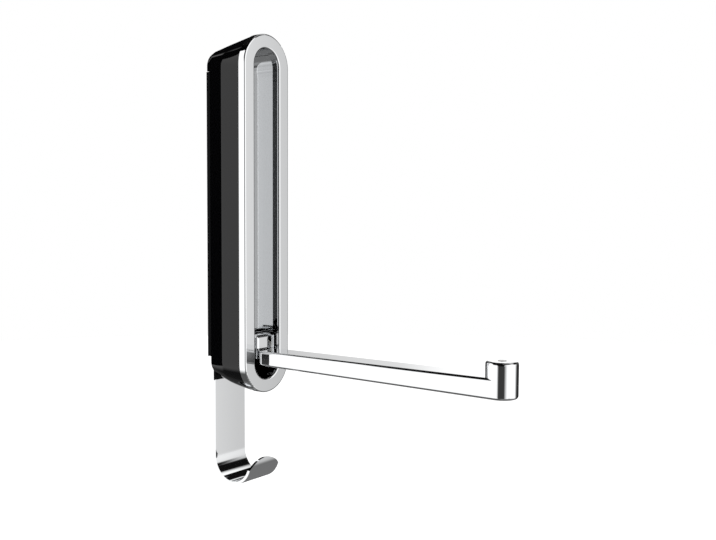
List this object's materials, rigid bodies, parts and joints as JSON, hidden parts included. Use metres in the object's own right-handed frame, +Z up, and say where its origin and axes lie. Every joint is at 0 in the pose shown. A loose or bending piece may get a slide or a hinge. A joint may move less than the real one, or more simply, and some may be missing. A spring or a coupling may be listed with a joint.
{
  "type": "wall mounted clothes valet",
  "caption": "Slim upright wall body with a chrome trim ring and recess, a hanger arm that folds up into the recess, and a flat chrome coat hook below.",
  "frame": {"origin": "on the wall plane, centred across the wall plate and level with the middle of the body", "axes": "+Z up, +Y into the wall, the front and the arm towards -Y, +X across"},
  "size_m": [0.0566, 0.3013, 0.4055],
  "materials": {
    "black_paint": "satin black powder coat on cast zinc",
    "black_gloss": "gloss black moulded ABS",
    "chrome": "bright chrome plate on cast zinc",
    "chrome_liner": "bright chrome plate on pressed sheet",
    "chrome_arm": "bright chrome plate on cast zinc",
    "chrome_hook": "bright chrome plate on bent strip",
    "bracket_steel": "chrome plate on cast zinc",
    "pin_steel": "turned steel",
    "spring_steel": "blued spring steel",
    "screw_steel": "zinc plated steel",
    "nylon": "natural nylon",
    "rubber": "black rubber",
    "magnet": "nickel plated magnet, dark"
  },
  "bodies": {
    "body": {"wall_plate": "black_paint", "housing": "black_gloss", "trim_ring": "chrome", "recess_liner": "chrome_liner", "hinge_bracket": "bracket_steel", "hinge_pin": "pin_steel", "spring_washer": "spring_steel", "plain_washers": "pin_steel", "pin_clip": "spring_steel", "stop_pad": "rubber", "coat_hook": "chrome_hook", "hook_screws": "screw_steel", "bracket_screws": "screw_steel", "ring_screws": "screw_steel"},
    "arm": {"arm": "chrome_arm", "tip_magnet": "magnet", "pin_bushes": "nylon"}
  },
  "joints": [
    {"name": "arm_fold", "type": "hinge", "parent": "body", "child": "arm", "pos_m": [0, -0.0364, -0.1207], "axis": [-1, 0, 0], "range_deg": [0, 90]}
  ]
}
